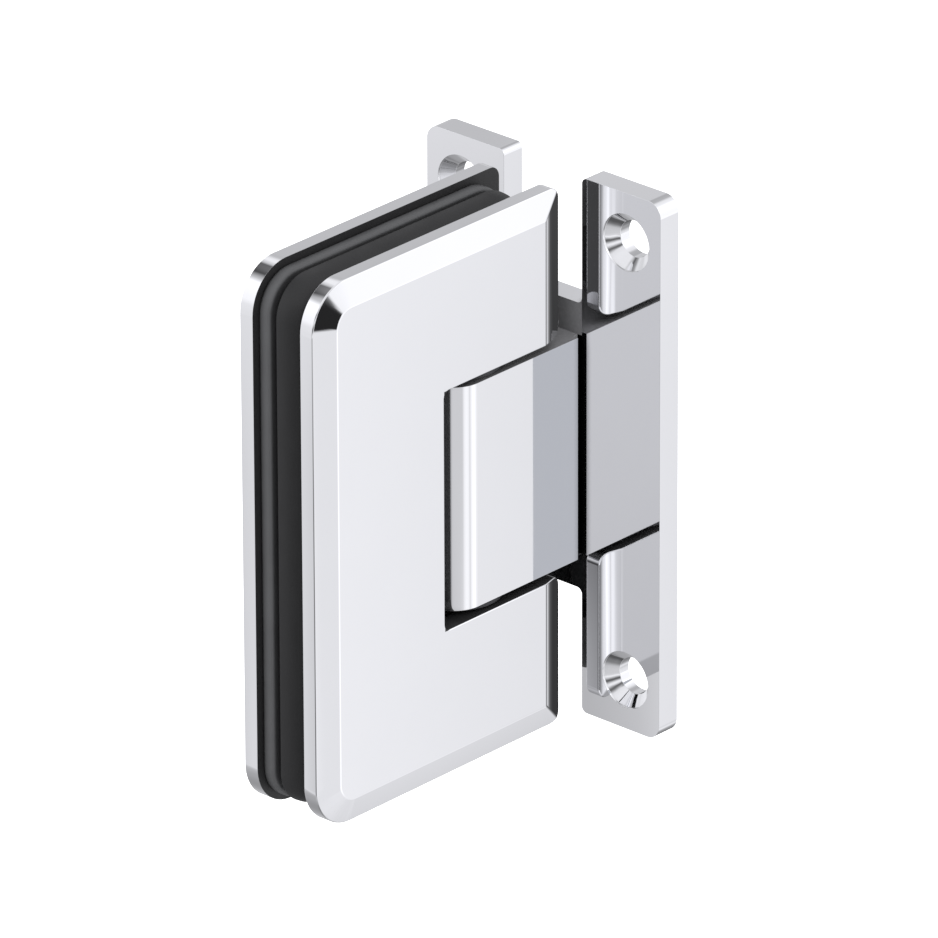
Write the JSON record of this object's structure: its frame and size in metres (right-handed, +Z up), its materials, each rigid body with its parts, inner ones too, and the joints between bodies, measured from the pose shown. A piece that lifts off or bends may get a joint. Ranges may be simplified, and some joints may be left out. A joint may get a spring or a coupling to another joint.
{
  "type": "wall-mount hinge",
  "caption": "Chrome glass-door hinge: an H-shaped wall plate with countersunk holes carries a pivot block, and bevelled clamp plates with rubber gaskets swing about its vertical pin.",
  "frame": {"origin": "centre of the wall plate's back face, on the wall's surface", "axes": "+X into the wall, -Y to the front of the closed door, +Z up along the pivot pin"},
  "size_m": [0.0638, 0.048, 0.09],
  "materials": {
    "chrome": "polished chrome plate",
    "gasket_rubber": "matt black rubber",
    "pin_steel": "ground steel",
    "screw_steel": "plain stainless steel",
    "spring_steel": "drawn wire",
    "bush_brass": "turned",
    "washer_plastic": "matt black"
  },
  "bodies": {
    "wall_mount": {"wall_plate": "chrome", "pivot_block": "chrome", "block_screws": "screw_steel", "upper_bush": "bush_brass", "lower_bush": "bush_brass", "upper_washer": "washer_plastic", "lower_washer": "washer_plastic", "upper_spring": "spring_steel", "lower_spring": "spring_steel", "upper_spring_plug": "screw_steel", "lower_spring_plug": "screw_steel"},
    "clamp": {"front_plate": "chrome", "rear_plate": "chrome", "front_gasket": "gasket_rubber", "rear_gasket": "gasket_rubber", "pivot_pin": "pin_steel", "clamp_screws": "screw_steel", "upper_pin_screws": "screw_steel", "lower_pin_screws": "screw_steel"},
    "upper_plunger": {"upper_plunger": "pin_steel"},
    "lower_plunger": {"lower_plunger": "pin_steel"}
  },
  "joints": [
    {"name": "door_swing", "type": "hinge", "parent": "wall_mount", "child": "clamp", "pos_m": [-0.0245, 0, 0], "axis": [0, 0, 1], "range_deg": [-90, 90]},
    {"name": "upper_plunger_slide", "type": "slide", "parent": "wall_mount", "child": "upper_plunger", "axis": [1, 0, 0], "range_m": [0, 0.0012], "stiffness_N_per_m": 3000, "deforming": ["upper_spring"]},
    {"name": "lower_plunger_slide", "type": "slide", "parent": "wall_mount", "child": "lower_plunger", "axis": [1, 0, 0], "range_m": [0, 0.0012], "stiffness_N_per_m": 3000, "deforming": ["lower_spring"]}
  ]
}
